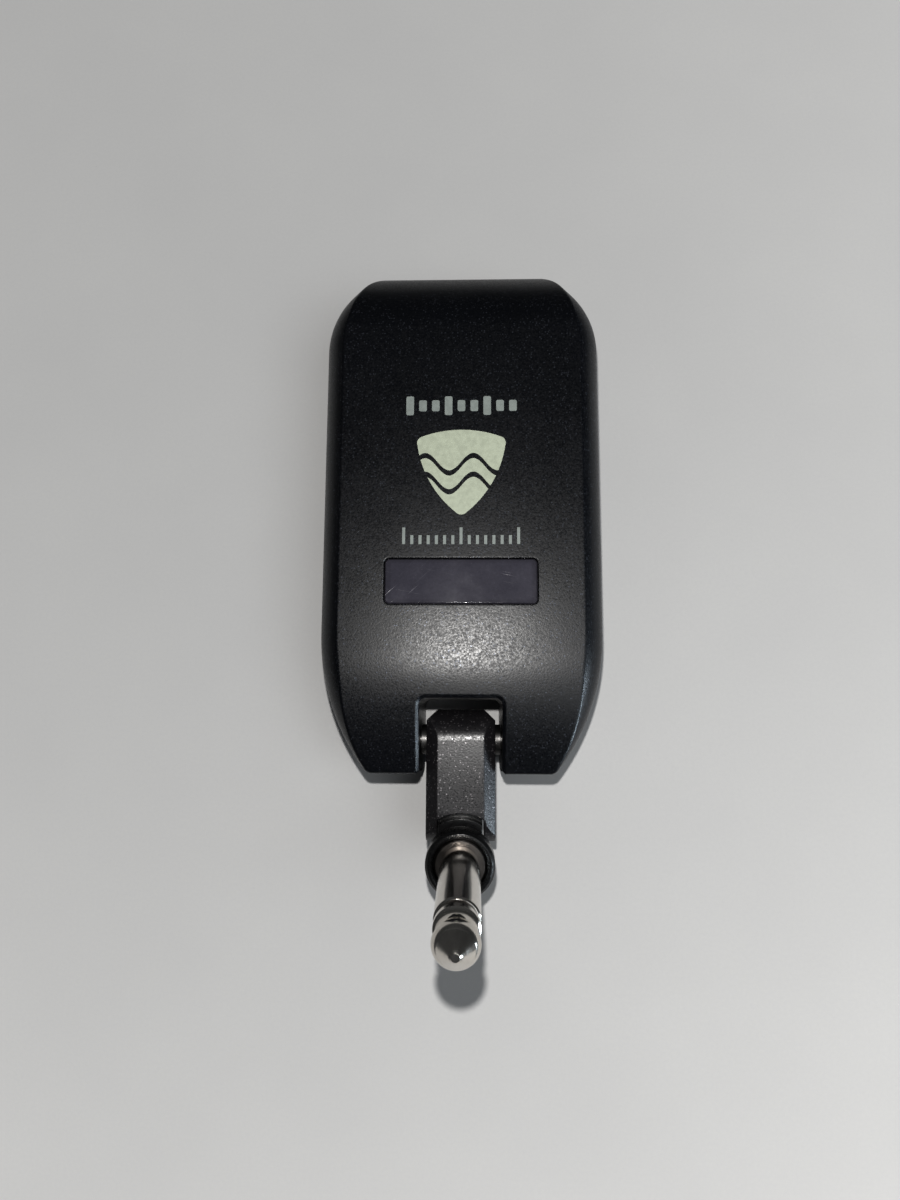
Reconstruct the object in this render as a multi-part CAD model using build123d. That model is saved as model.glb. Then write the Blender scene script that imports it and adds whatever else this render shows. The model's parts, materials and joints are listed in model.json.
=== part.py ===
from build123d import *
import math
import os

# Plug-in guitar unit with a hinged arm and a 6.35 mm plug.
# Millimetres. X is the width, +Y points to the free end, +Z points out of the face.
# The origin is the middle of the flat back.

# ---- driving dimensions: body ----
body_width = 47.1
body_length = 88.1
body_height = 22.0
seam_height = 11.0
groove_depth = 0.3
groove_half = 0.2
wall = 1.8
half_width = body_width / 2
half_length = body_length / 2

top_flat_half = 13.7
top_corner_radius = 14.2
taper_start_y = -21.2
taper_radius = 36.5
end_corner_radius = 1.6

shoulder_start_height = 16.0
shoulder_radius = 6.93
face_edge_round = 0.6
notch_edge_bevel = 0.5
rear_bevel_height = 3.5
rear_bevel_angle = 30.0

flat_low_y = -24.25
flat_high_y = 31.0
plug_end_radius = 50.0
free_end_radius = 14.3

# ---- notch, arm and hinge ----
notch_half = 6.75
notch_floor_y = -31.85
notch_corner = 1.2
notch_wall = 1.6
hinge_y = -38.65
hinge_z = 13.4
hinge_pin_radius = 1.5
running_gap = 0.05

arm_half = 5.65
arm_round = 5.0
facet_half = 3.8
facet_drop = 1.6
arm_end_bevel = 1.8
relief_radius = 7.5
arm_length = 11.5
knuckle_half = 3.5
knuckle_round = 3.2
knuckle_pin_radius = 1.0
roof_low = 3.5
slot_start = 6.2

# ---- plug, measured up its own axis from the knuckle pin ----
plug_lean = 8.6
plug_offset = 6.5
collar_low = 6.0
collar_high = 9.0
collar_radius = 5.5
nut_radius = 4.15
nut_high = 8.75
sleeve_radius = 3.175
sleeve_seat_radius = 2.9
sleeve_start = 8.85
sleeve_end = 29.6
tip_start = 31.0
tip_end = 40.0

# ---- face ----
window_length = 24.9
window_width = 7.4
window_y = -13.05
window_recess = 0.15
window_thickness = 1.2
window_gap = 0.12
print_height = 0.06
level_bar_count = 9
level_row_y = 16.7
level_row_length = 18.5
plectrum_y = 5.4
tick_count = 15
tick_row_y = -6.95
tick_row_length = 19.3

# ---- inside ----
board_low = 9.6
board_high = 10.8
floor_height = 1.6
control_z = 13.8
cover_screw_places = [(-18.0, 29.0), (18.0, 29.0), (-17.6, -19.0), (17.6, -19.0)]
bracket_screw_places = [(-13.0, -38.6), (13.0, -38.6)]
jack_x = -9.5
jack_z = 6.6
usb_x = 8.0
usb_z = 7.97
wheel_x = 17.25
wheel_y = 8.0
wheel_radius = 6.3
wheel_low = 12.3
wheel_high = 15.3
button_half_length = 3.5
button_half_height = 1.4
button_gap = 0.2
left_buttons = {"power_button": 19.0, "up_button": 5.0, "down_button": -5.0}
right_buttons = {"select_button": -7.0}


# ---- small helpers ----
def block(low, high):
    """A box given by its lowest and highest corners."""
    size = [b - a for a, b in zip(low, high)]
    middle = [(a + b) / 2 for a, b in zip(low, high)]
    return Pos(*middle) * Box(*size)


def post(x, y, radius, low, high):
    """An upright cylinder."""
    return Pos(x, y, (low + high) / 2) * Cylinder(radius, high - low)


def cross_rod(radius, low_x, high_x, y, z):
    """A cylinder along X."""
    middle = (low_x + high_x) / 2
    return Pos(middle, y, z) * Rot(0, 90, 0) * Cylinder(radius, high_x - low_x)


def rounded_block(length, width, radius, x, y, low, high):
    """A box with rounded upright edges, centred on x and y."""
    outline = RectangleRounded(length, width, radius)
    return Pos(x, y, low) * extrude(outline, high - low)


def risen(outline, low, high, taper=0.0):
    """An outline extruded upwards from one height to another."""
    return extrude(Pos(0, 0, low) * outline, high - low, dir=(0, 0, 1), taper=taper)


def group(shapes):
    """Several separate solids in one node."""
    return Compound(children=[s for shape in shapes for s in shape.solids()])


def turned(points, place):
    """A solid of revolution from radius and height pairs."""
    profile = Plane.XZ * make_face(Polyline(points + [points[0]]))
    return place * revolve(profile, Axis.Z)


# ---- the body's outer form ----
def body_outline(end_corners=end_corner_radius):
    """The body seen from above, without the notch, its end corners rounded or sharp."""
    corner_x = half_width - top_corner_radius
    turn = top_corner_radius * math.sin(math.radians(45))
    corner_y = top_flat_half + half_length - corner_x - 2 * turn
    taper_x = half_width - taper_radius
    taper_turn = math.degrees(math.asin((half_length + taper_start_y) / taper_radius))
    corner = CenterArc((corner_x, corner_y), top_corner_radius, 0, 45)
    taper = CenterArc((taper_x, taper_start_y), taper_radius, 0, -taper_turn)
    right = [
        Line((top_flat_half, half_length), corner @ 1),
        corner,
        Line(corner @ 0, taper @ 0),
        taper,
    ]
    left = [mirror(edge, Plane.YZ) for edge in right]
    low_x = (taper @ 1).X
    ends = [
        Line((-top_flat_half, half_length), (top_flat_half, half_length)),
        Line((-low_x, -half_length), (low_x, -half_length)),
    ]
    face = make_face(right + left + ends)
    if end_corners == 0:
        return face
    corners = [v for v in face.vertices() if abs(abs(v.Y) - half_length) < 0.01]
    rounded = fillet(corners, end_corners)
    return Face(rounded.face().outer_wire())


def crown_height(y):
    """The height of the face along the body."""
    if y < flat_low_y:
        reach = flat_low_y - y
        return body_height - plug_end_radius + math.sqrt(plug_end_radius ** 2 - reach ** 2)
    if y > flat_high_y:
        reach = y - flat_high_y
        return body_height - free_end_radius + math.sqrt(free_end_radius ** 2 - reach ** 2)
    return body_height


def crown_prism(lower):
    """Everything under the face's side profile, lowered by a wall thickness."""
    low_arc = CenterArc((flat_low_y, body_height - plug_end_radius), plug_end_radius - lower, 90, 32)
    high_arc = CenterArc((flat_high_y, body_height - free_end_radius), free_end_radius - lower, 90, -72)
    low_y = (low_arc @ 1).X
    high_y = (high_arc @ 1).X
    outline = [
        low_arc,
        Line(low_arc @ 0, high_arc @ 0),
        high_arc,
        Line(high_arc @ 1, (high_y, -1)),
        Line((high_y, -1), (low_y, -1)),
        Line((low_y, -1), low_arc @ 1),
    ]
    return extrude(Plane.YZ * make_face(outline), half_width + 5, both=True)


def front_form(inset):
    """The upper half of the body, or its hollow when inset by a wall."""
    outline = body_outline(0)
    if inset > 0:
        outline = offset(outline, -inset)
    radius = shoulder_radius - inset
    block_high = shoulder_start_height + radius
    form = risen(outline, seam_height, block_high)
    end_y = half_length - inset
    top = [e for e in form.edges() if lies_at(e, block_high)]
    sides = [e for e in top if abs(abs(e.center().Y) - end_y) > 0.01]
    return fillet(sides, radius) & crown_prism(inset)


def rear_form(inset):
    """The lower half of the body, or its hollow when inset by a wall."""
    outline = body_outline()
    if inset > 0:
        outline = offset(outline, -inset)
    straight = risen(outline, rear_bevel_height, seam_height)
    base = Pos(0, 0, rear_bevel_height) * outline
    sloped = extrude(base, rear_bevel_height, dir=(0, 0, -1), taper=rear_bevel_angle)
    return straight + sloped


def notch_block(grow):
    """The notch, or the notch with its walls when grown."""
    half = notch_half + grow
    floor = notch_floor_y + grow
    low = -half_length - 3
    outline = Pos(0, (floor + low) / 2) * Rectangle(2 * half, floor - low)
    inner = [v for v in outline.vertices() if abs(v.Y - floor) < 0.01]
    outline = fillet(inner, notch_corner)
    return risen(outline, -1, body_height + 1)


def seam_groove():
    """The shallow groove that shows along the seam."""
    ring = body_outline() - offset(body_outline(), -groove_depth)
    return risen(ring, seam_height - groove_half, seam_height + groove_half)


# ---- covers ----
def button_window(side, y, gap):
    """The space for one side button and its opening."""
    outer = side * (half_width + 2)
    inner = side * (half_width - wall - 1.0)
    reach = button_half_length + gap
    rise = button_half_height + gap
    low = (min(outer, inner), y - reach, control_z - rise)
    return block(low, (max(outer, inner), y + reach, control_z + rise))


def rounded_front():
    """The upper half of the body with its edges rounded and the notch cut through it."""
    form = front_form(0)
    uprights = [e for e in form.edges().filter_by(Axis.Z) if abs(abs(e.center().Y) - half_length) < 0.01]
    form = fillet(uprights, end_corner_radius)
    ridge = [e for e in form.edges() if rides_crown(e)]
    form = fillet(ridge, face_edge_round)
    form -= notch_block(0)
    rim = [e for e in form.edges() if rides_crown(e) and lines_notch(e)]
    return chamfer(rim, notch_edge_bevel)


def lies_at(edge, height):
    """True if an edge is level at a height."""
    return all(abs(edge.position_at(t).Z - height) < 0.01 for t in (0, 0.5, 1))


def rides_crown(edge):
    """True if an edge lies in the crowned face."""
    points = [edge.position_at(t) for t in (0.1, 0.5, 0.9)]
    return all(abs(p.Z - crown_height(p.Y)) < 0.02 for p in points)


def lines_notch(edge):
    """True if an edge lies along the notch's walls."""
    middle = edge.position_at(0.5)
    return abs(middle.X) < notch_half + 0.01 and middle.Y < notch_floor_y + 0.01


def front_cover():
    hollow = front_form(wall) - notch_block(notch_wall)
    cover = rounded_front() - hollow - seam_groove()
    for x, y in cover_screw_places:
        boss = post(x, y, 2.6, board_high, 21) & front_form(0.8)
        cover += boss
        cover -= post(x, y, 1.0, 5, 16)
    for side in (-1, 1):
        cover -= cross_rod(hinge_pin_radius + 0.1, side * 7.8 - 1.6, side * 7.8 + 1.6, hinge_y, hinge_z)
    top = body_height + 1
    ledge = body_height - window_recess - window_thickness
    seat_length = window_length + 2 * window_gap
    seat_width = window_width + 2 * window_gap
    cover -= rounded_block(seat_length, seat_width, 0.9, 0, window_y, ledge, top)
    cover -= rounded_block(window_length - 2.4, window_width - 2.0, 0.5, 0, window_y, 15, top)
    for y in left_buttons.values():
        cover -= button_window(-1, y, button_gap)
    for y in right_buttons.values():
        cover -= button_window(1, y, button_gap)
    slot_low = (wheel_x + 3.0, wheel_y - 5.0, wheel_low - 0.4)
    slot = block(slot_low, (half_width + 2, wheel_y + 5.0, wheel_high + 0.4))
    scoop = post(half_width + 13.0, wheel_y, 14.0, seam_height + 0.8, shoulder_start_height - 0.1)
    return cover - slot - scoop


def rear_cover():
    hollow = rear_form(wall) & block((-30, -50, floor_height), (30, 50, seam_height + 1))
    hollow -= notch_block(notch_wall)
    cover = rear_form(0) - hollow - notch_block(0) - seam_groove()
    for x, y in cover_screw_places:
        cover += post(x, y, 2.8, floor_height - 0.2, board_low)
        cover -= post(x, y, 1.1, -1, board_low + 1)
        cover -= post(x, y, 2.0, -1, 1.9)
    for x, y in bracket_screw_places:
        cover += post(x, y, 2.2, floor_height - 0.2, 9.0)
        cover -= post(x, y, 0.9, 4.5, 9.5)
    nose = Pos(jack_x, half_length - 1, jack_z) * Rot(90, 0, 0) * Cylinder(2.9, 6)
    socket = Pos(usb_x, half_length + 3, usb_z) * Rot(90, 0, 0) * extrude(RectangleRounded(9.3, 3.6, 1.7), 8)
    label = rounded_block(24.6, 14.6, 1.3, 0, 11, -1, 0.25)
    return cover - nose - socket - label


def rear_label():
    return rounded_block(24, 14, 1.0, 0, 11, 0.05, 0.25)


def cover_screws():
    screws = []
    for x, y in cover_screw_places:
        screw = post(x, y, 1.9, 0.4, 1.9) + post(x, y, 1.0, 1.9, 15.5)
        for turn in (0, 90):
            screw -= Pos(x, y, 0.5) * Rot(0, 0, turn) * Box(2.2, 0.5, 1.2)
        screws.append(screw)
    return group(screws)


# ---- face trim ----
def display_window():
    high = body_height - window_recess
    window = rounded_block(window_length, window_width, 0.8, 0, window_y, high - window_thickness, high)
    rim = window.faces().sort_by(Axis.Z)[-1].edges()
    return chamfer(rim, 0.2)


def level_bars():
    """A row of level bars, as on a meter."""
    bars = []
    bar_width = 1.3
    step = (level_row_length - bar_width) / (level_bar_count - 1)
    for index in range(level_bar_count):
        wave = 0.5 + 0.5 * math.cos(math.radians(index * 120))
        height = 1.5 + 1.8 * wave
        x = (index - (level_bar_count - 1) / 2) * step
        outline = Pos(x, level_row_y) * RectangleRounded(bar_width, height, 0.3)
        bars.append(risen(outline, body_height, body_height + print_height))
    return group(bars)


def plectrum_mark():
    """A plectrum with a wave cut through it."""
    upper = ThreePointArc((-6.6, 5.9), (0, 7.1), (6.6, 5.9))
    right = ThreePointArc((7.3, 4.4), (5.0, -2.2), (0.9, -7.0))
    left = mirror(right, Plane.YZ)
    right_corner = ThreePointArc((6.6, 5.9), (7.25, 5.35), (7.3, 4.4))
    left_corner = mirror(right_corner, Plane.YZ)
    point = ThreePointArc((0.9, -7.0), (0, -7.4), (-0.9, -7.0))
    face = make_face([upper, right, left, right_corner, left_corner, point])
    for shift in (-1.6, 1.6):
        swing = [(x, shift + 1.5 * math.sin(math.radians(x * 45))) for x in range(-9, 10)]
        crest = Spline(swing)
        lower = Spline([(x, y - 0.9) for x, y in swing])
        sides = [Line(crest @ 0, lower @ 0), Line(crest @ 1, lower @ 1)]
        face -= make_face([crest, lower] + sides)
    return group([risen(Pos(0, plectrum_y) * face, body_height, body_height + print_height)])


def tick_line():
    """A scale of thin ticks."""
    ticks = []
    tick_width = 0.5
    step = (tick_row_length - tick_width) / (tick_count - 1)
    for index in range(tick_count):
        height = 2.8 if index % 7 == 0 else 1.5
        x = (index - (tick_count - 1) / 2) * step
        low = (x - tick_width / 2, tick_row_y, body_height)
        ticks.append(block(low, (x + tick_width / 2, tick_row_y + height, body_height + print_height)))
    return group(ticks)


# ---- electronics ----
def main_board():
    outline = offset(body_outline(), -wall - 0.6) & (Pos(0, 6.5) * Rectangle(50, 68))
    board = risen(outline, board_low, board_high)
    for x, y in cover_screw_places:
        board -= post(x, y, 1.2, board_low - 1, board_high + 1)
    return board


def radio_shield_can():
    can = block((-4, 27, board_high), (10, 37, board_high + 2.2))
    return can - block((-3.8, 27.2, board_high - 1), (9.8, 36.8, board_high + 2.0))


def board_chips():
    places = [(-6, 18, 7, 7, 1.2), (5, 17, 5, 5, 1.0), (-7, 6, 6, 5, 1.1)]
    places += [(4, 5, 4, 6, 1.0), (-6, -18, 5, 5, 1.2), (6, -20, 6, 4, 1.4)]
    chips = []
    for x, y, length, width, height in places:
        low = (x - length / 2, y - width / 2, board_high)
        chips.append(block(low, (x + length / 2, y + width / 2, board_high + height)))
    return group(chips)


def chip_antenna():
    return block((-4, 38.2, board_high), (5, 40.2, board_high + 1.1))


def display_gasket():
    frame = rounded_block(26.6, 9.2, 0.8, 0, window_y, 19.8, body_height - wall)
    return frame - rounded_block(23.4, 6.2, 0.5, 0, window_y, 19, 21)


def display_module():
    return rounded_block(26.6, 9.2, 0.4, 0, window_y, 18.4, 19.8)


def display_flex():
    """The ribbon from the display down to its connector on the board."""
    start_y = window_y + 4.6
    outer = 2.0
    ribbon = 0.3
    rest_z = 18.9
    far_y = start_y + 1.0 + outer
    path = [
        Line((start_y, rest_z), (start_y + 1.0, rest_z)),
        CenterArc((start_y + 1.0, rest_z - outer), outer, 0, 90),
        Line((far_y, rest_z - outer), (far_y, board_high + 1.2)),
        Line((far_y, board_high + 1.2), (far_y - ribbon, board_high + 1.2)),
        Line((far_y - ribbon, board_high + 1.2), (far_y - ribbon, rest_z - outer)),
        CenterArc((start_y + 1.0, rest_z - outer), outer - ribbon, 0, 90),
        Line((start_y + 1.0, rest_z - ribbon), (start_y, rest_z - ribbon)),
        Line((start_y, rest_z - ribbon), (start_y, rest_z)),
    ]
    return extrude(Plane.YZ * make_face(path), 4, both=True)


def flex_connector():
    far_y = window_y + 4.6 + 3.0
    return block((-5, far_y - 1.6, board_high), (5, far_y + 1.2, board_high + 1.2))


def battery_cell():
    return rounded_block(29, 40, 1.2, 0, 4, floor_height + 0.8, 7.9)


def battery_pad():
    return rounded_block(26, 34, 0.5, 0, 4, floor_height, floor_height + 0.8)


def battery_connector():
    return block((-2.5, 29, 6.6), (2.5, 33, board_low))


def battery_lead():
    wires = [Pos(x, 26.5, 7.25) * Rot(90, 0, 0) * Cylinder(0.5, 5.0) for x in (-0.9, 0.9)]
    return group(wires)


def headphone_jack():
    body = block((jack_x - 3, 28.5, jack_z - 3), (jack_x + 3, 42.0, jack_z + 3))
    nose = Pos(jack_x, 42.9, jack_z) * Rot(90, 0, 0) * Cylinder(2.8, 1.8)
    bore = Pos(jack_x, 37.5, jack_z) * Rot(90, 0, 0) * Cylinder(1.8, 14.0)
    return body + nose - bore


def usb_receptacle():
    place = Pos(usb_x, 43.7, usb_z) * Rot(90, 0, 0)
    shell = place * extrude(RectangleRounded(8.94, 3.26, 1.5), 7.3)
    shell -= place * extrude(RectangleRounded(8.34, 2.66, 1.25), 6.3)
    tongue = block((usb_x - 3.3, 37.4, usb_z - 0.35), (usb_x + 3.3, 42.5, usb_z + 0.35))
    return shell + tongue


# ---- controls ----
def volume_wheel():
    wheel = post(wheel_x, wheel_y, wheel_radius, wheel_low, wheel_high)
    rim = wheel.edges().filter_by(GeomType.CIRCLE)
    wheel = chamfer(rim, 0.35)
    grooves = 36
    for index in range(grooves):
        angle = math.radians(index * 360 / grooves)
        x = wheel_x + (wheel_radius + 0.15) * math.cos(angle)
        y = wheel_y + (wheel_radius + 0.15) * math.sin(angle)
        wheel -= post(x, y, 0.3, wheel_low - 1, wheel_high + 1)
    return wheel - post(wheel_x, wheel_y, 1.2, wheel_low - 1, wheel_high + 1)


def encoder_shaft():
    return post(wheel_x, wheel_y, 1.2, board_high + 0.2, wheel_high + 0.2)


def encoder_housing():
    half = 3.2
    high = (wheel_x + half, wheel_y + half, board_high + 1.2)
    body = block((wheel_x - half, wheel_y - half, board_high), high)
    return body - post(wheel_x, wheel_y, 1.2 + running_gap, board_high + 0.15, board_high + 2)


def side_button(side, y):
    """A cap through the side wall with a retaining flange behind it."""
    face_x = half_width + 0.3
    back_x = half_width - wall - 0.3
    low = (back_x, y - button_half_length, control_z - button_half_height)
    cap = block(low, (face_x, y + button_half_length, control_z + button_half_height))
    rim = cap.faces().sort_by(Axis.X)[-1].edges()
    cap = fillet(rim, 0.4)
    reach = button_half_length + 0.8
    rise = button_half_height + 0.5
    flange = block((back_x - 0.6, y - reach, control_z - rise), (back_x, y + reach, control_z + rise))
    button = cap + flange
    if side < 0:
        button = mirror(button, Plane.YZ)
    return button


def tact_switches():
    switches = []
    plunger_x = half_width - wall - 1.35
    body_x = plunger_x - 0.55
    for side, rows in ((-1, left_buttons), (1, right_buttons)):
        for y in rows.values():
            body = block((body_x - 3.6, y - 2.2, board_high), (body_x, y + 2.2, control_z + 1.4))
            plunger = block((body_x, y - 0.8, control_z - 0.5), (plunger_x, y + 0.8, control_z + 0.5))
            switch = body + plunger
            if side < 0:
                switch = mirror(switch, Plane.YZ)
            switches.append(switch)
    return group(switches)


# ---- hinge between body and arm ----
def hinge_bracket(side):
    plate = block((8.5, -41.6, 9.0), (10.5, -35.4, 15.2))
    foot = block((10.5, -41.0, 9.0), (15.6, -36.0, 10.4))
    bracket = plate + foot
    bracket -= cross_rod(hinge_pin_radius, 8, 11, hinge_y, hinge_z)
    x, y = bracket_screw_places[1]
    bracket -= post(x, y, 0.9, 8, 11)
    if side < 0:
        bracket = mirror(bracket, Plane.YZ)
    return bracket


def bracket_screws():
    screws = []
    for x, y in bracket_screw_places:
        screw = post(x, y, 1.7, 10.4, 11.5) + post(x, y, 0.9, 4.8, 10.4)
        screw -= Pos(x, y, 11.4) * Box(2.0, 0.4, 0.8)
        screws.append(screw)
    return group(screws)


def hinge_pins():
    right = cross_rod(hinge_pin_radius, 3.2, 12.0, hinge_y, hinge_z)
    left = cross_rod(hinge_pin_radius, -12.0, -3.2, hinge_y, hinge_z)
    left -= cross_rod(0.8, -13, -2, hinge_y, hinge_z)
    return group([left, right])


def hinge_washers():
    washers = []
    for side in (-1, 1):
        low = min(side * arm_half, side * (arm_half + 0.9))
        washer = cross_rod(2.5, low, low + 0.9, hinge_y, hinge_z)
        washer -= cross_rod(hinge_pin_radius + running_gap, low - 1, low + 2, hinge_y, hinge_z)
        washers.append(washer)
    return group(washers)


# ---- arm ----
def arm_form():
    """The arm's outer form, with a full-round end about each pin."""
    knuckle_y = hinge_y - arm_length
    slot = Pos(hinge_y - arm_length / 2, hinge_z) * SlotCenterToCenter(arm_length, 2 * arm_round)
    side_view = extrude(Plane.YZ * slot, arm_half, both=True)
    low = hinge_z - arm_round
    high = hinge_z + arm_round
    section = Polyline(
        (-facet_half, high),
        (facet_half, high),
        (arm_half, high - facet_drop),
        (arm_half, low + 1.2),
        (arm_half - 1.2, low),
        (-arm_half + 1.2, low),
        (-arm_half, low + 1.2),
        (-arm_half, high - facet_drop),
        (-facet_half, high),
    )
    length_view = extrude(Plane.XZ * make_face(section), 70)
    back = hinge_y + arm_round
    front = knuckle_y - arm_round - 1
    plan = Polyline(
        (-arm_half + arm_end_bevel, back),
        (arm_half - arm_end_bevel, back),
        (arm_half, back - arm_end_bevel),
        (arm_half, front),
        (-arm_half, front),
        (-arm_half, back - arm_end_bevel),
        (-arm_half + arm_end_bevel, back),
    )
    plan_view = extrude(make_face(plan), 30)
    return side_view & length_view & plan_view


def arm_hollow():
    """The knuckle slot, the round relief behind the collar, pin bores and the lead's channel."""
    knuckle_y = hinge_y - arm_length
    slot_high = hinge_y - slot_start
    slot = block((-facet_half, -70, hinge_z - 10), (facet_half, slot_high, hinge_z + roof_low))
    relief_y = knuckle_y - 7.6
    relief = post(0, relief_y, relief_radius, hinge_z + roof_low - 0.1, hinge_z + 10)
    relief += block((-facet_half, -70, hinge_z + roof_low - 0.1), (facet_half, relief_y, hinge_z + 10))
    relief &= block((-facet_half, -70, hinge_z), (facet_half, 0, hinge_z + 10))
    bores = cross_rod(hinge_pin_radius + running_gap, -7, 7, hinge_y, hinge_z)
    bores += cross_rod(knuckle_pin_radius, -5.2, 5.2, knuckle_y, hinge_z)
    room = cross_rod(2.2, -3.0, 3.0, hinge_y, hinge_z)
    channel = block((-0.8, slot_high - 1, hinge_z - 0.8), (0.8, hinge_y, hinge_z + 0.8))
    return slot + relief + bores + room + channel


def arm_screw_places():
    return [(-2.7, hinge_y - 4.0), (2.7, hinge_y - 4.0)]


def arm_upper_shell():
    shell = (arm_form() - arm_hollow()) & block((-10, -70, hinge_z), (10, 0, hinge_z + 10))
    for x, y in arm_screw_places():
        shell -= post(x, y, 0.7, hinge_z - 1, hinge_z + 2.8)
    return shell


def arm_lower_shell():
    shell = (arm_form() - arm_hollow()) & block((-10, -70, hinge_z - 10), (10, 0, hinge_z))
    for x, y in arm_screw_places():
        shell -= post(x, y, 0.8, hinge_z - 10, hinge_z + 1)
        shell -= post(x, y, 1.3, hinge_z - 10, hinge_z - arm_round + 1.3)
    return shell


def arm_screws():
    screws = []
    low = hinge_z - arm_round
    for x, y in arm_screw_places():
        screw = post(x, y, 1.2, low + 0.3, low + 1.3) + post(x, y, 0.7, low + 1.3, hinge_z + 2.6)
        for turn in (0, 90):
            screw -= Pos(x, y, low + 0.4) * Rot(0, 0, turn) * Box(1.5, 0.35, 0.8)
        screws.append(screw)
    return group(screws)


def knuckle_pin():
    return cross_rod(knuckle_pin_radius, -5.2, 5.2, hinge_y - arm_length, hinge_z)


# ---- plug end, built upright over the knuckle pin and leaned outward ----
def leaned(shape):
    """Put a shape of the plug end in its place. Its own +Y points back to the body."""
    place = Pos(0, hinge_y - arm_length, hinge_z) * Rot(plug_lean, 0, 0)
    return place * shape


def plug_hub():
    tongue = cross_rod(knuckle_round, -knuckle_half, knuckle_half, 0, 0)
    link = block((-knuckle_half, -plug_offset, -knuckle_round), (knuckle_half, 0, knuckle_round))
    riser = post(0, -plug_offset, knuckle_half, -4.0, collar_low)
    boss = post(0, -plug_offset, 6.2, -knuckle_round, 4.4)
    boss &= block((-knuckle_half, -plug_offset, -10), (knuckle_half, 10, 10))
    hub = tongue + link + riser + boss
    hub -= cross_rod(knuckle_pin_radius + running_gap, -5, 5, 0, 0)
    hub -= post(0, -plug_offset, 2.2, -3.0, collar_low + 1)
    hub -= post(0, -plug_offset, 2.7, -5, -3.0)
    return leaned(hub)


def hub_cap():
    return leaned(post(0, -plug_offset, 2.7, -4.0, -3.0))


def plug_place():
    return Pos(0, -plug_offset, 0)


def plug_collar():
    floor = collar_low + 0.6
    points = [
        (2.2, collar_low),
        (collar_radius, collar_low),
        (collar_radius, collar_high - 0.5),
        (collar_radius - 0.45, collar_high),
        (nut_radius + 0.45, collar_high),
        (nut_radius + 0.15, collar_high - 0.3),
        (nut_radius + 0.15, floor),
        (2.2, floor),
    ]
    return leaned(turned(points, plug_place()))


def plug_nut():
    floor = collar_low + 0.6
    points = [
        (sleeve_seat_radius, floor),
        (nut_radius, floor),
        (nut_radius, nut_high - 0.3),
        (nut_radius - 0.3, nut_high),
        (sleeve_seat_radius, nut_high),
    ]
    return leaned(turned(points, plug_place()))


def plug_sleeve():
    floor = collar_low + 0.6
    points = [
        (1.9, 2.6),
        (2.2, 2.6),
        (2.2, floor),
        (sleeve_seat_radius, floor),
        (sleeve_seat_radius, sleeve_start),
        (sleeve_radius, sleeve_start),
        (sleeve_radius, sleeve_end - 0.25),
        (sleeve_radius - 0.25, sleeve_end),
        (1.9, sleeve_end),
    ]
    return leaned(turned(points, plug_place()))


def plug_insulator():
    points = [
        (1.1, 2.0),
        (1.9, 2.0),
        (1.9, sleeve_end),
        (2.85, sleeve_end),
        (2.85, tip_start),
        (1.1, tip_start),
    ]
    return leaned(turned(points, plug_place()))


def plug_tip():
    rod = 1.1
    profile = [
        Line((0, 1.0), (rod, 1.0)),
        Line((rod, 1.0), (rod, tip_start)),
        Line((rod, tip_start), (3.0, tip_start)),
        Line((3.0, tip_start), (3.12, tip_start + 0.2)),
        Line((3.12, tip_start + 0.2), (3.12, tip_start + 1.2)),
        ThreePointArc((3.12, tip_start + 1.2), (2.42, tip_start + 2.1), (2.3, tip_start + 3.1)),
        ThreePointArc((2.3, tip_start + 3.1), (2.75, tip_start + 4.3), (3.12, tip_start + 5.3)),
        ThreePointArc((3.12, tip_start + 5.3), (2.95, tip_start + 6.0), (2.45, tip_start + 6.7)),
        Line((2.45, tip_start + 6.7), (0.85, tip_end - 0.3)),
        Line((0.85, tip_end - 0.3), (0.55, tip_end)),
        Line((0.55, tip_end), (0, tip_end)),
        Line((0, tip_end), (0, 1.0)),
    ]
    tip = revolve(Plane.XZ * make_face(profile), Axis.Z)
    return leaned(plug_place() * tip)


def tip_lug():
    """The solder lug under the tip's rod."""
    return leaned(block((-0.9, -plug_offset - 0.15, -0.8), (0.9, -plug_offset + 0.15, 1.0)))


# ---- leads ----
def tube(path, radius):
    start = Plane(origin=path @ 0, z_dir=path % 0)
    return sweep(start * Circle(radius), path=path)


def body_lead():
    """From the hollow hinge pin to its connector on the board."""
    corner = (-15.0, hinge_y, hinge_z)
    path = FilletPolyline((-10.8, hinge_y, hinge_z), corner, (-15.0, -25.0, hinge_z), radius=3.0)
    return tube(path, 0.6)


def lead_connector():
    return block((-17.4, -25.0, board_high), (-12.6, -21.6, hinge_z + 0.9))


def arm_lead():
    """From the middle of the hinge to the knuckle slot."""
    start = (-2.8, hinge_y, hinge_z)
    end = (0, hinge_y - slot_start + 0.2, hinge_z)
    path = FilletPolyline(start, (0, hinge_y, hinge_z), end, radius=1.6)
    return tube(path, 0.5)


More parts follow.
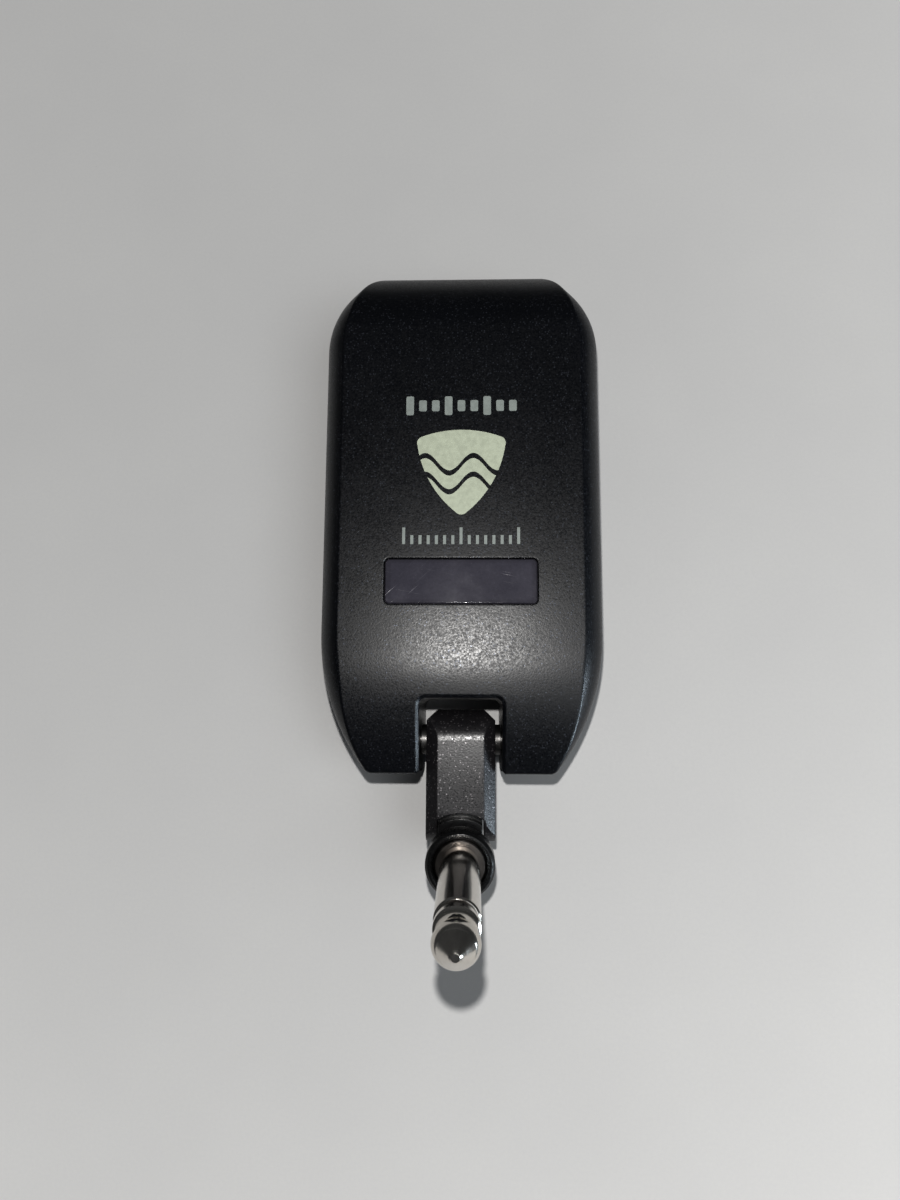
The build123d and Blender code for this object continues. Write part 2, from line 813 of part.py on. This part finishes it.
shapes = {
    "front_cover": front_cover(),
    "rear_cover": rear_cover(),
    "rear_label": rear_label(),
    "cover_screws": cover_screws(),
    "display_window": display_window(),
    "print_level_bars": level_bars(),
    "print_plectrum": plectrum_mark(),
    "print_tick_line": tick_line(),
    "main_board": main_board(),
    "radio_shield_can": radio_shield_can(),
    "board_chips": board_chips(),
    "chip_antenna": chip_antenna(),
    "display_gasket": display_gasket(),
    "display_module": display_module(),
    "display_flex": display_flex(),
    "flex_connector": flex_connector(),
    "battery_cell": battery_cell(),
    "battery_pad": battery_pad(),
    "battery_connector": battery_connector(),
    "battery_lead": battery_lead(),
    "headphone_jack": headphone_jack(),
    "usb_receptacle": usb_receptacle(),
    "volume_wheel": volume_wheel(),
    "encoder_shaft": encoder_shaft(),
    "encoder_housing": encoder_housing(),
    "tact_switches": tact_switches(),
    "hinge_bracket_left": hinge_bracket(-1),
    "hinge_bracket_right": hinge_bracket(1),
    "bracket_screws": bracket_screws(),
    "hinge_pins": hinge_pins(),
    "hinge_washers": hinge_washers(),
    "arm_upper_shell": arm_upper_shell(),
    "arm_lower_shell": arm_lower_shell(),
    "arm_screws": arm_screws(),
    "knuckle_pin": knuckle_pin(),
    "plug_hub": plug_hub(),
    "hub_cap": hub_cap(),
    "plug_collar": plug_collar(),
    "plug_nut": plug_nut(),
    "plug_sleeve": plug_sleeve(),
    "plug_insulator": plug_insulator(),
    "plug_tip": plug_tip(),
    "tip_lug": tip_lug(),
    "body_lead": body_lead(),
    "lead_connector": lead_connector(),
    "arm_lead": arm_lead(),
}
for name, y in left_buttons.items():
    shapes[name] = side_button(-1, y)
for name, y in right_buttons.items():
    shapes[name] = side_button(1, y)

os.makedirs("parts", exist_ok=True)
for name, shape in shapes.items():
    export_step(shape, f"parts/{name}.step")
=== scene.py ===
import json
import math

import bmesh
import bpy
from mathutils import Euler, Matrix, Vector


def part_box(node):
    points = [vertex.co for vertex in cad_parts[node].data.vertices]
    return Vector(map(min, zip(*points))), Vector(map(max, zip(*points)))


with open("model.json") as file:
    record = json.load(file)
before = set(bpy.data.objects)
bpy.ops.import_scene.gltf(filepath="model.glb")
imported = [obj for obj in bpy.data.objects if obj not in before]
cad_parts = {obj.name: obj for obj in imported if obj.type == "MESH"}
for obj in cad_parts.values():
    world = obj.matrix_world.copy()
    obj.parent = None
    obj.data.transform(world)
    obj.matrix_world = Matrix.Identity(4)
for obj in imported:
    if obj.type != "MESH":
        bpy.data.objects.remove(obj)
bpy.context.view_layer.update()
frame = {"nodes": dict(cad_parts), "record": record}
nodes = frame["nodes"]
scene = bpy.context.scene

MM = 0.001
BEVEL_SAMPLES = 6
# The colour sockets of a Mix node, which share their names with its other sockets.
MIX_FIRST, MIX_SECOND, MIX_RESULT = 6, 7, 2


# ---- node helpers ----
def shader_node(tree, kind, inputs=None, **settings):
    """A shader node with its settings, and its inputs given as values or as other nodes' outputs."""
    made = tree.nodes.new("ShaderNode" + kind)
    for name, value in settings.items():
        setattr(made, name, value)
    for name, value in (inputs or {}).items():
        if isinstance(value, bpy.types.NodeSocket):
            tree.links.new(value, made.inputs[name])
        else:
            made.inputs[name].default_value = value
    return made


def new_material(name):
    """An empty material with a Principled shader."""
    made = bpy.data.materials.new(name)
    made.use_nodes = True
    tree = made.node_tree
    tree.nodes.clear()
    shader = tree.nodes.new("ShaderNodeBsdfPrincipled")
    output = tree.nodes.new("ShaderNodeOutputMaterial")
    tree.links.new(shader.outputs["BSDF"], output.inputs["Surface"])
    return made, tree, shader


def wire(tree, shader, **sockets):
    """Give the shader's sockets a value or a link. Underscores stand for spaces."""
    for name, value in sockets.items():
        socket = shader.inputs[name.replace("_", " ")]
        if isinstance(value, bpy.types.NodeSocket):
            tree.links.new(value, socket)
        else:
            socket.default_value = value


def in_mm(tree, stretch=(1, 1, 1), turn=(0, 0, 0)):
    """Object coordinates in millimetres, turned and stretched."""
    place = shader_node(tree, "TexCoord").outputs["Object"]
    turned = shader_node(tree, "Mapping", {"Vector": place, "Rotation": turn})
    size = tuple(s / MM for s in stretch)
    return shader_node(tree, "Mapping", {"Vector": turned.outputs[0], "Scale": size}).outputs[0]


def noise(tree, where, scale, detail=3.0, rough=0.55, distortion=0.0):
    """Cloudy noise, with its scale in features per millimetre."""
    inputs = {"Vector": where, "Scale": scale, "Detail": detail, "Roughness": rough, "Distortion": distortion}
    return shader_node(tree, "TexNoise", inputs).outputs[0]


def spots(tree, where, scale, feature="F1"):
    """Cell noise, for grains and flakes."""
    inputs = {"Vector": where, "Scale": scale}
    return shader_node(tree, "TexVoronoi", inputs, feature=feature)


def spread(tree, value, low, high, to_low=0.0, to_high=1.0):
    """A value's range stretched to another, and clamped."""
    inputs = {"Value": value, "From Min": low, "From Max": high, "To Min": to_low, "To Max": to_high}
    return shader_node(tree, "MapRange", inputs, clamp=True).outputs[0]


def maths(tree, operation, first, second=0.0):
    """One operation on two values, each a number or another node's output."""
    made = shader_node(tree, "Math", operation=operation)
    for socket, value in zip(made.inputs, (first, second)):
        if isinstance(value, bpy.types.NodeSocket):
            tree.links.new(value, socket)
        else:
            socket.default_value = value
    return made.outputs[0]


def blend_colour(tree, share, first, second):
    """One colour turning into another as the share goes from 0 to 1."""
    made = shader_node(tree, "Mix", {"Factor": share}, data_type="RGBA")
    for socket, value in zip((made.inputs[MIX_FIRST], made.inputs[MIX_SECOND]), (first, second)):
        if isinstance(value, bpy.types.NodeSocket):
            tree.links.new(value, socket)
        else:
            socket.default_value = (*value, 1)
    return made.outputs[MIX_RESULT]


def shade(base, amount, lift=0.0):
    """A colour made darker or lighter."""
    return tuple(c * amount + lift for c in base)


def raised(tree, height, depth, normal=None):
    """A bump of a height texture, its depth in millimetres."""
    inputs = {"Height": height, "Distance": depth * MM, "Strength": 1.0}
    if normal is not None:
        inputs["Normal"] = normal
    return shader_node(tree, "Bump", inputs).outputs[0]


def soft_edges(tree, radius):
    """The surface's normal with its edges rounded, the radius in millimetres."""
    return shader_node(tree, "Bevel", {"Radius": radius * MM}, samples=BEVEL_SAMPLES).outputs[0]


def edge_share(tree, rounded):
    """Near 1 along edges and 0 on open faces, from the normal with its edges rounded."""
    true_normal = shader_node(tree, "NewGeometry").outputs["True Normal"]
    alike = shader_node(tree, "VectorMath", {0: rounded, 1: true_normal}, operation="DOT_PRODUCT")
    return spread(tree, alike.outputs["Value"], 0.995, 0.9)


def scratches(tree, angle, length=0.05, width=7.0, amount=0.3):
    """Fine straight scratches across X and Y at an angle, broken up by a larger noise."""
    along = in_mm(tree, (length, width, length), (0, 0, math.radians(angle)))
    lines = spread(tree, noise(tree, along, 1.0, 2.0, 0.6), 0.66, 0.72)
    patches = spread(tree, noise(tree, in_mm(tree), 0.11, 2.0), 0.62 - amount * 0.3, 0.70)
    return maths(tree, "MULTIPLY", lines, patches)


# ---- materials ----
def sparkle(tree, where, scale, share):
    """Single bright grains: a share of the cells of a fine cell noise."""
    cells = spots(tree, where, scale)
    lit = spread(tree, cells.outputs["Color"], 1 - share, 1 - share * 0.5)
    return maths(tree, "MULTIPLY", lit, spread(tree, cells.outputs["Distance"], 0.5, 0.25))


def paint(name, base, fleck, roughness, grain_scale, wear, grain_depth, scuffs):
    """Satin paint with a metallic grain, fine scratches, handling marks and edges worn a little."""
    made, tree, shader = new_material(name)
    place = in_mm(tree)
    flake = sparkle(tree, place, grain_scale, 0.3)
    dull = sparkle(tree, in_mm(tree, turn=(0.6, 0.3, 0.9)), grain_scale * 0.9, 0.4)
    clouds = noise(tree, place, 0.09, 4.0)
    grain = noise(tree, place, grain_scale, 1.5, 0.6)
    marks = maths(tree, "MAXIMUM", scratches(tree, 24, amount=scuffs), scratches(tree, -58, amount=scuffs))
    marks = maths(tree, "MAXIMUM", marks, scratches(tree, 81, 0.1, 9.0, scuffs * 0.5))
    rounded = soft_edges(tree, 0.35)
    bare = edge_share(tree, rounded)
    edges = maths(tree, "MULTIPLY", bare, spread(tree, noise(tree, place, 0.8), 0.4, 0.75))
    colour = blend_colour(tree, flake, base, fleck)
    colour = blend_colour(tree, spread(tree, clouds, 0.35, 0.7, 0.0, 0.25), colour, shade(base, 1.7))
    colour = blend_colour(tree, maths(tree, "MULTIPLY", marks, 0.25), colour, wear)
    colour = blend_colour(tree, maths(tree, "MULTIPLY", edges, 0.3), colour, wear)
    gloss = spread(tree, clouds, 0.3, 0.7, roughness - 0.02, roughness + 0.025)
    gloss = maths(tree, "ADD", gloss, spread(tree, grain, 0.35, 0.65, -0.07, 0.07))
    gloss = maths(tree, "ADD", gloss, maths(tree, "MULTIPLY", dull, 0.09))
    gloss = maths(tree, "ADD", gloss, maths(tree, "MULTIPLY", marks, 0.08))
    normal = raised(tree, grain, grain_depth, rounded)
    normal = raised(tree, marks, -0.003, normal)
    metal = maths(tree, "MULTIPLY", flake, 0.7)
    wire(tree, shader, Base_Color=colour, Metallic=metal, Roughness=gloss, Normal=normal, IOR=1.46)
    return made


def moulded(name, base, roughness, texture=3.0, depth=0.006, edge=0.2):
    """Moulded plastic: a fine spark-eroded texture, faint flow clouds and rounded edges."""
    made, tree, shader = new_material(name)
    place = in_mm(tree)
    clouds = noise(tree, place, 0.15, 3.0)
    grain = noise(tree, place, texture, 4.0, 0.7)
    colour = blend_colour(tree, spread(tree, clouds, 0.3, 0.7), shade(base, 0.8), shade(base, 1.2))
    colour = blend_colour(tree, spread(tree, grain, 0.55, 0.75, 0.0, 0.3), colour, shade(base, 1.6, 0.004))
    gloss = spread(tree, grain, 0.3, 0.7, roughness - 0.06, roughness + 0.06)
    normal = raised(tree, grain, depth, soft_edges(tree, edge))
    wire(tree, shader, Base_Color=colour, Roughness=gloss, Normal=normal, IOR=1.49)
    return made


def plated(name, base, roughness, turn_axis=None, line_scale=9.0, depth=0.0015, tarnish=0.25):
    """Plated or turned metal with fine tool lines, smudges and light tarnish."""
    made, tree, shader = new_material(name)
    wire(tree, shader, Metallic=1.0)
    place = in_mm(tree)
    if turn_axis is None:
        along = in_mm(tree, (0.15, 1.0, 0.15))
    else:
        along = in_mm(tree, (0.02, 0.02, 1.0), turn_axis)
    lines = noise(tree, along, line_scale, 2.0)
    smudge = noise(tree, place, 0.55, 4.0, 0.6, 0.4)
    pits = spread(tree, noise(tree, place, 4.0, 2.0), 0.68, 0.74)
    dark = shade(base, 0.62)
    colour = blend_colour(tree, spread(tree, smudge, 0.45, 0.75, 0.0, tarnish), base, dark)
    colour = blend_colour(tree, maths(tree, "MULTIPLY", pits, 0.4), colour, dark)
    gloss = spread(tree, smudge, 0.3, 0.75, roughness * 0.8, roughness * 1.5)
    gloss = maths(tree, "ADD", gloss, spread(tree, lines, 0.3, 0.7, -0.03, 0.04))
    normal = raised(tree, lines, depth, soft_edges(tree, 0.12))
    wire(tree, shader, Base_Color=colour, Roughness=gloss, Normal=normal)
    return made


def from_middle(tree, place, low, high):
    """X, Y and Z in millimetres from the middle of a box."""
    middle = (low + high) / 2
    shift = shader_node(tree, "VectorMath", {0: place, 1: tuple(-c / MM for c in middle)}, operation="ADD")
    return shader_node(tree, "SeparateXYZ", {0: shift.outputs[0]}).outputs


def printed(name, base):
    """Pad-printed ink: slightly uneven cover with pinholes."""
    made, tree, shader = new_material(name)
    place = in_mm(tree)
    cover = noise(tree, place, 1.3, 4.0, 0.6)
    holes = spread(tree, noise(tree, place, 9.0, 2.0), 0.66, 0.74)
    thin = shade(base, 0.55)
    colour = blend_colour(tree, spread(tree, cover, 0.38, 0.62), shade(base, 0.88), base)
    colour = blend_colour(tree, maths(tree, "MULTIPLY", holes, 0.6), colour, thin)
    gloss = spread(tree, cover, 0.3, 0.7, 0.42, 0.55)
    wire(tree, shader, Base_Color=colour, Roughness=gloss, Normal=raised(tree, cover, 0.004), IOR=1.45)
    return made


def smoked_window(name, base):
    """The smoked display window: a faint grain, a ghost of the display behind it, dust and hair scratches."""
    made, tree, shader = new_material(name)
    place = in_mm(tree)
    low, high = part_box("display_window")
    offset = from_middle(tree, place, low, high)
    clear_x, clear_y, fade = 11.3, 2.9, 0.3
    across = spread(tree, maths(tree, "ABSOLUTE", offset[0]), clear_x, clear_x + fade)
    down = spread(tree, maths(tree, "ABSOLUTE", offset[1]), clear_y, clear_y + fade)
    border = maths(tree, "MAXIMUM", across, down)
    scuff_end = spread(tree, offset[0], -2.5, -7.0)
    marks = maths(tree, "MULTIPLY", scratches(tree, -42, 0.09, 8.0, 0.9), scuff_end)
    marks = maths(tree, "MAXIMUM", marks, scratches(tree, 12, 0.07, 11.0, 0.35))
    grain = noise(tree, place, 2.4, 3.0, 0.7)
    dust = spread(tree, noise(tree, place, 3.2, 3.0, 0.7), 0.64, 0.76)
    clouds = noise(tree, place, 0.2, 3.0)
    colour = blend_colour(tree, border, base, shade(base, 0.8))
    colour = blend_colour(tree, spread(tree, clouds, 0.35, 0.7, 0.0, 0.4), colour, shade(base, 1.3))
    colour = blend_colour(tree, spread(tree, grain, 0.35, 0.65, 0.0, 0.35), colour, shade(base, 0.6))
    colour = blend_colour(tree, maths(tree, "MULTIPLY", marks, 0.7), colour, (0.42, 0.41, 0.43))
    colour = blend_colour(tree, maths(tree, "MULTIPLY", dust, 0.16), colour, (0.35, 0.34, 0.35))
    gloss = spread(tree, clouds, 0.3, 0.7, 0.1, 0.16)
    gloss = maths(tree, "ADD", gloss, maths(tree, "MULTIPLY", marks, 0.3))
    normal = raised(tree, grain, 0.0012, soft_edges(tree, 0.12))
    normal = raised(tree, marks, -0.003, normal)
    wire(tree, shader, Base_Color=colour, Roughness=gloss, Normal=normal, IOR=1.5)
    return made


def circuit_board(name, base):
    """Green solder mask with copper tracks and vias under it."""
    made, tree, shader = new_material(name)
    place = in_mm(tree)
    cells = spots(tree, in_mm(tree, (1, 1, 0.01)), 0.5, "DISTANCE_TO_EDGE").outputs["Distance"]
    tracks = spread(tree, cells, 0.05, 0.08, 1.0, 0.0)
    vias = spread(tree, spots(tree, place, 0.45).outputs["Distance"], 0.12, 0.16, 1.0, 0.0)
    weave = noise(tree, in_mm(tree, (1, 1, 0.2)), 2.5, 2.0)
    colour = blend_colour(tree, tracks, base, shade(base, 1.8))
    colour = blend_colour(tree, vias, colour, (0.6, 0.5, 0.25))
    gloss = spread(tree, weave, 0.3, 0.7, 0.25, 0.4)
    normal = raised(tree, tracks, 0.02, soft_edges(tree, 0.1))
    wire(tree, shader, Base_Color=colour, Roughness=gloss, Normal=normal, IOR=1.5)
    return made


def foil_pouch(name, base):
    """A battery's crinkled foil pouch, with painted shade darkening the valleys of its creases."""
    made, tree, shader = new_material(name)
    place = in_mm(tree)
    creases = noise(tree, place, 0.35, 6.0, 0.62, 1.2)
    fine = noise(tree, place, 3.0, 3.0)
    # Painted shade: the foil's colour darkens in the low parts of the crease bump.
    colour = blend_colour(tree, spread(tree, creases, 0.3, 0.7), shade(base, 0.8), base)
    gloss = spread(tree, fine, 0.3, 0.7, 0.28, 0.42)
    wire(tree, shader, Base_Color=colour, Roughness=gloss, Metallic=0.85, Normal=raised(tree, creases, 0.12))
    return made


def foam(name, base):
    """Closed-cell foam, with painted shade in the grooves between its cells."""
    made, tree, shader = new_material(name)
    cells = spots(tree, in_mm(tree), 3.0).outputs["Distance"]
    # Painted shade: each cell is lighter in its middle and darker towards the grooves that the bump sinks
    # between cells.
    colour = blend_colour(tree, spread(tree, cells, 0.0, 0.6), shade(base, 1.5), shade(base, 0.5))
    gloss = spread(tree, cells, 0.0, 0.6, 0.8, 0.95)
    wire(tree, shader, Base_Color=colour, Roughness=gloss, Normal=raised(tree, cells, -0.05))
    return made


def ribbon_film(name, base):
    """Amber film with copper tracks along it."""
    made, tree, shader = new_material(name)
    parts = shader_node(tree, "SeparateXYZ", {0: in_mm(tree)})
    lines = maths(tree, "SINE", maths(tree, "MULTIPLY", parts.outputs[0], 12.0))
    tracks = spread(tree, lines, 0.1, 0.4)
    cloud = noise(tree, in_mm(tree), 0.8)
    colour = blend_colour(tree, tracks, base, shade(base, 0.6))
    gloss = spread(tree, cloud, 0.3, 0.7, 0.22, 0.34)
    wire(tree, shader, Base_Color=colour, Roughness=gloss, Normal=raised(tree, tracks, 0.01))
    return made


def film_label(name, base):
    """A dark film label with a plain border line and generic blocks in place of text."""
    made, tree, shader = new_material(name)
    place = in_mm(tree)
    low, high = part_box("rear_label")
    offset = from_middle(tree, place, low, high)
    x = maths(tree, "ABSOLUTE", offset[0])
    y = maths(tree, "ABSOLUTE", offset[1])
    half = (high - low) / 2 / MM
    inset = maths(tree, "MINIMUM", maths(tree, "SUBTRACT", half.x, x), maths(tree, "SUBTRACT", half.y, y))
    border = maths(tree, "MULTIPLY", spread(tree, inset, 0.75, 0.8), spread(tree, inset, 1.0, 0.95))
    rows = spread(tree, maths(tree, "SINE", maths(tree, "MULTIPLY", offset[1], 3.4)), 0.55, 0.7)
    words = spread(tree, noise(tree, in_mm(tree, (1, 0.02, 1)), 0.9, 1.0), 0.42, 0.45)
    inside = spread(tree, inset, 2.0, 2.1)
    blocks = maths(tree, "MULTIPLY", maths(tree, "MULTIPLY", rows, words), inside)
    ink = maths(tree, "MAXIMUM", border, blocks)
    grain = noise(tree, place, 2.5, 3.0)
    colour = blend_colour(tree, maths(tree, "MULTIPLY", ink, 0.8), base, (0.42, 0.43, 0.43))
    colour = blend_colour(tree, spread(tree, grain, 0.5, 0.8, 0.0, 0.2), colour, (0.12, 0.12, 0.12))
    gloss = spread(tree, grain, 0.3, 0.7, 0.32, 0.45)
    normal = raised(tree, grain, 0.004, soft_edges(tree, 0.1))
    wire(tree, shader, Base_Color=colour, Roughness=gloss, Normal=normal)
    return made


# The plug leans away from the body, and its tool lines run around its own axis.
plug_tilt = math.radians(8.6)
finishes = {
    "body_paint": paint("body_paint", base=(0.0004, 0.0009, 0.0024), fleck=(0.062, 0.067, 0.08), roughness=0.35,
                        grain_scale=3.3, wear=(0.02, 0.021, 0.024), grain_depth=0.014, scuffs=0.15),
    "arm_paint": paint("arm_paint", base=(0.012, 0.0112, 0.0125), fleck=(0.19, 0.18, 0.185), roughness=0.315,
                       grain_scale=3.2, wear=(0.06, 0.058, 0.056), grain_depth=0.014, scuffs=0.05),
    "button_plastic": moulded("button_plastic", (0.007, 0.007, 0.0075), 0.42),
    "label": film_label("label", (0.03, 0.03, 0.032)),
    "black_screw": plated("black_screw", (0.06, 0.06, 0.064), 0.38, (0, 0, 0)),
    "window": smoked_window("window", (0.053, 0.05, 0.064)),
    "grey_print": printed("grey_print", (0.245, 0.267, 0.25)),
    "cream_print": printed("cream_print", (0.425, 0.45, 0.355)),
    "board": circuit_board("board", (0.012, 0.06, 0.035)),
    "shield_metal": plated("shield_metal", (0.6, 0.6, 0.62), 0.3),
    "chip": moulded("chip", (0.02, 0.02, 0.02), 0.5),
    "gasket": foam("gasket", (0.03, 0.03, 0.03)),
    "flex": ribbon_film("flex", (0.45, 0.22, 0.05)),
    "connector": moulded("connector", (0.7, 0.67, 0.6), 0.45),
    "battery": foil_pouch("battery", (0.62, 0.63, 0.65)),
    "wire": moulded("wire", (0.35, 0.02, 0.02), 0.45),
    "jack": moulded("jack", (0.012, 0.012, 0.012), 0.4),
    "steel": plated("steel", (0.55, 0.55, 0.56), 0.28),
    "hinge_steel": plated("hinge_steel", (0.1, 0.098, 0.096), 0.36, (0, math.pi / 2, 0)),
    "hub": moulded("hub", (0.004, 0.004, 0.0042), 0.3, 2.0, 0.003),
    "collar": moulded("collar", (0.0035, 0.0035, 0.0038), 0.28, 2.0, 0.002, 0.3),
    "dark_nickel": plated("dark_nickel", (0.09, 0.083, 0.078), 0.34, (-plug_tilt, 0, 0)),
    "nickel": plated("nickel", (0.66, 0.63, 0.585), 0.13, (-plug_tilt, 0, 0), 6.0),
    "insulator": moulded("insulator", (0.012, 0.009, 0.008), 0.3),
    "brass": plated("brass", (0.75, 0.6, 0.3), 0.3),
}
for part in frame["record"]["subparts"]:
    shown = nodes[part["node"]]
    shown.data.materials.clear()
    shown.data.materials.append(finishes[part["material_slot"]])


# ---- table and sweep ----
def table_material():
    """A pale laminate table: broad soft patches, a faint grain and specks."""
    made, tree, shader = new_material("table")
    place = in_mm(tree)
    patches = noise(tree, place, 0.03, 4.0)
    fine = noise(tree, place, 1.6, 4.0, 0.65)
    specks = spread(tree, noise(tree, place, 0.7, 2.0), 0.80, 0.84)
    colour = blend_colour(tree, spread(tree, patches, 0.3, 0.7), (0.612, 0.61, 0.606), (0.632, 0.63, 0.624))
    colour = blend_colour(tree, spread(tree, fine, 0.35, 0.65, 0.0, 0.2), colour, (0.56, 0.56, 0.565))
    colour = blend_colour(tree, maths(tree, "MULTIPLY", specks, 0.6), colour, (0.25, 0.24, 0.23))
    gloss = spread(tree, fine, 0.3, 0.7, 0.5, 0.62)
    wire(tree, shader, Base_Color=colour, Roughness=gloss, Normal=raised(tree, fine, 0.01), IOR=1.4)
    return made


def sweep(flat, rise, height, rings=14, around=96):
    """A round floor that curves up into a low wall."""
    mesh = bpy.data.meshes.new("table_sweep")
    shape = bmesh.new()
    profile = [(0.0, 0.0), (flat * 0.4, 0.0), (flat, 0.0)]
    for step in range(1, rings + 1):
        turn = math.pi / 2 * step / rings
        profile.append((flat + rise * math.sin(turn), height * (1 - math.cos(turn))))
    hub = shape.verts.new((0, 0, 0))
    circles = []
    for radius, z in profile[1:]:
        turns = [math.tau * k / around for k in range(around)]
        circles.append([shape.verts.new((radius * math.cos(t), radius * math.sin(t), z)) for t in turns])
    for k in range(around):
        following = (k + 1) % around
        shape.faces.new((hub, circles[0][k], circles[0][following]))
        for inner, outer in zip(circles, circles[1:]):
            shape.faces.new((inner[k], outer[k], outer[following], inner[following]))
    shape.to_mesh(mesh)
    shape.free()
    mesh.shade_smooth()
    made = bpy.data.objects.new("table_sweep", mesh)
    scene.collection.objects.link(made)
    mesh.materials.append(table_material())
    return made


floor_gap = 0.00002
floor = sweep(flat=0.75, rise=0.5, height=0.6)
floor.location.z = -floor_gap


# ---- camera ----
camera_data = bpy.data.cameras.new("camera")
camera_data.lens = 24
camera_data.sensor_width = 36
camera_data.clip_start = 0.005
camera = bpy.data.objects.new("camera", camera_data)
camera.location = Vector((2.09, -34.23, 150.11)) * MM
camera.rotation_euler = Euler((0.1402, 0.0292, 0.0053))
scene.collection.objects.link(camera)
scene.camera = camera


# ---- light ----
def aim(lamp, target):
    """Turn a light towards a point."""
    lamp.rotation_euler = (Vector(target) - lamp.location).to_track_quat("-Z", "Y").to_euler()


def area_light(name, size, energy, colour, place, target):
    """A rectangular light that the camera doesn't see, turned towards a point."""
    data = bpy.data.lights.new(name, "AREA")
    data.shape = "RECTANGLE"
    data.size, data.size_y = size
    data.energy = energy
    data.color = colour
    lamp = bpy.data.objects.new(name, data)
    lamp.location = Vector(place)
    lamp.visible_camera = False
    scene.collection.objects.link(lamp)
    aim(lamp, target)
    return lamp


beam_across, beam_along, beam_power = 0.065, 0.261, -3.68
beam_floor = 0.3


def spread_to_edges(tree):
    """A flash's lens: more light towards the corners, so that it lights a flat table evenly."""
    ray = shader_node(tree, "SeparateXYZ", {0: shader_node(tree, "TexCoord").outputs["Normal"]})
    down = maths(tree, "MAXIMUM", maths(tree, "ABSOLUTE", ray.outputs[2]), beam_floor)
    across = maths(tree, "DIVIDE", ray.outputs[0], down)
    along = maths(tree, "DIVIDE", ray.outputs[1], down)
    lean_across = maths(tree, "MULTIPLY", across, beam_across)
    lean = maths(tree, "ADD", lean_across, maths(tree, "MULTIPLY", along, beam_along))
    evened = maths(tree, "POWER", down, beam_power)
    strength = maths(tree, "MULTIPLY", evened, maths(tree, "ADD", lean, 1.0))
    tree.links.new(strength, tree.nodes["Emission"].inputs["Strength"])


# The flash sits beside the lens and faces as the camera does.
camera_turn = camera.rotation_euler.to_matrix()
flash_from_lens = Vector((-1.7, 14.5, 0)) * MM
flash_data = bpy.data.lights.new("flash", "SPOT")
flash_data.energy = 0.58
flash_data.color = (1.0, 0.985, 0.965)
flash_data.shadow_soft_size = 1.6 * MM
flash_data.spot_size = math.radians(130)
flash_data.spot_blend = 0.3
flash_data.use_nodes = True
spread_to_edges(flash_data.node_tree)
flash = bpy.data.objects.new("flash", flash_data)
flash.location = camera.location + camera_turn @ flash_from_lens
flash.rotation_euler = camera.rotation_euler
scene.collection.objects.link(flash)

area_light("ceiling", (0.42, 0.42), 1.3, (0.93, 0.97, 1.0), (0.30, -0.16, 0.60), (0, 0, 0))
side_window = area_light("side_window", (0.25, 0.1), 2.6, (0.78, 0.9, 1.0), (0.44, -0.235, 0.12), (0, 0, 0.02))
# The side window would make a hot spot on the floor, so it leaves the floor out.
left_out = bpy.data.collections.new("kept_out_of_side_window")
left_out.objects.link(floor)
left_out.collection_objects[0].light_linking.link_state = "EXCLUDE"
side_window.light_linking.receiver_collection = left_out

world = bpy.data.worlds.new("room")
world.use_nodes = True
background = world.node_tree.nodes["Background"]
background.inputs["Color"].default_value = (0.64, 0.66, 0.69, 1)
background.inputs["Strength"].default_value = 0.14
scene.world = world

# A gamma below 1 gives the firmer contrast of a phone's picture.
scene.view_settings.view_transform = "Standard"
scene.view_settings.gamma = 0.8
